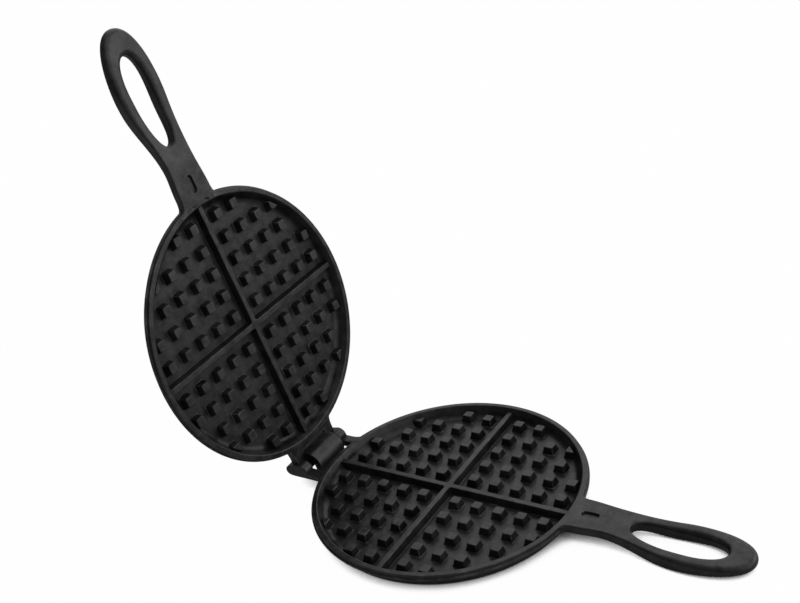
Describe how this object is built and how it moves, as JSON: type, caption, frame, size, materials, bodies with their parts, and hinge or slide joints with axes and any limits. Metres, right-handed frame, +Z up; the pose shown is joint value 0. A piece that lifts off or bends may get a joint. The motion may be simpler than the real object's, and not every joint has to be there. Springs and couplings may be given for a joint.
{
  "type": "waffle iron",
  "caption": "Round stovetop waffle iron in bare cast iron: two hinged plates with gridded cooking faces and loop handles, standing open.",
  "frame": {"origin": "centre of the lower casting's flat back, on the surface it rests on", "axes": "+Z up, +X from the plate's centre along the lower handle, the hinge at -X with its pin along Y"},
  "size_m": [0.4215, 0.1986, 0.3374],
  "materials": {
    "cast_iron": "seasoned, satin",
    "pin_steel": "blackened"
  },
  "bodies": {
    "lower": {"lower_half": "cast_iron", "hinge_pin": "pin_steel"},
    "upper": {"upper_half": "cast_iron"}
  },
  "joints": [
    {"name": "hinge", "type": "hinge", "parent": "lower", "child": "upper", "pos_m": [-0.1128, 0, 0.01335], "axis": [0, 1, 0], "range_deg": [0, 103]}
  ]
}
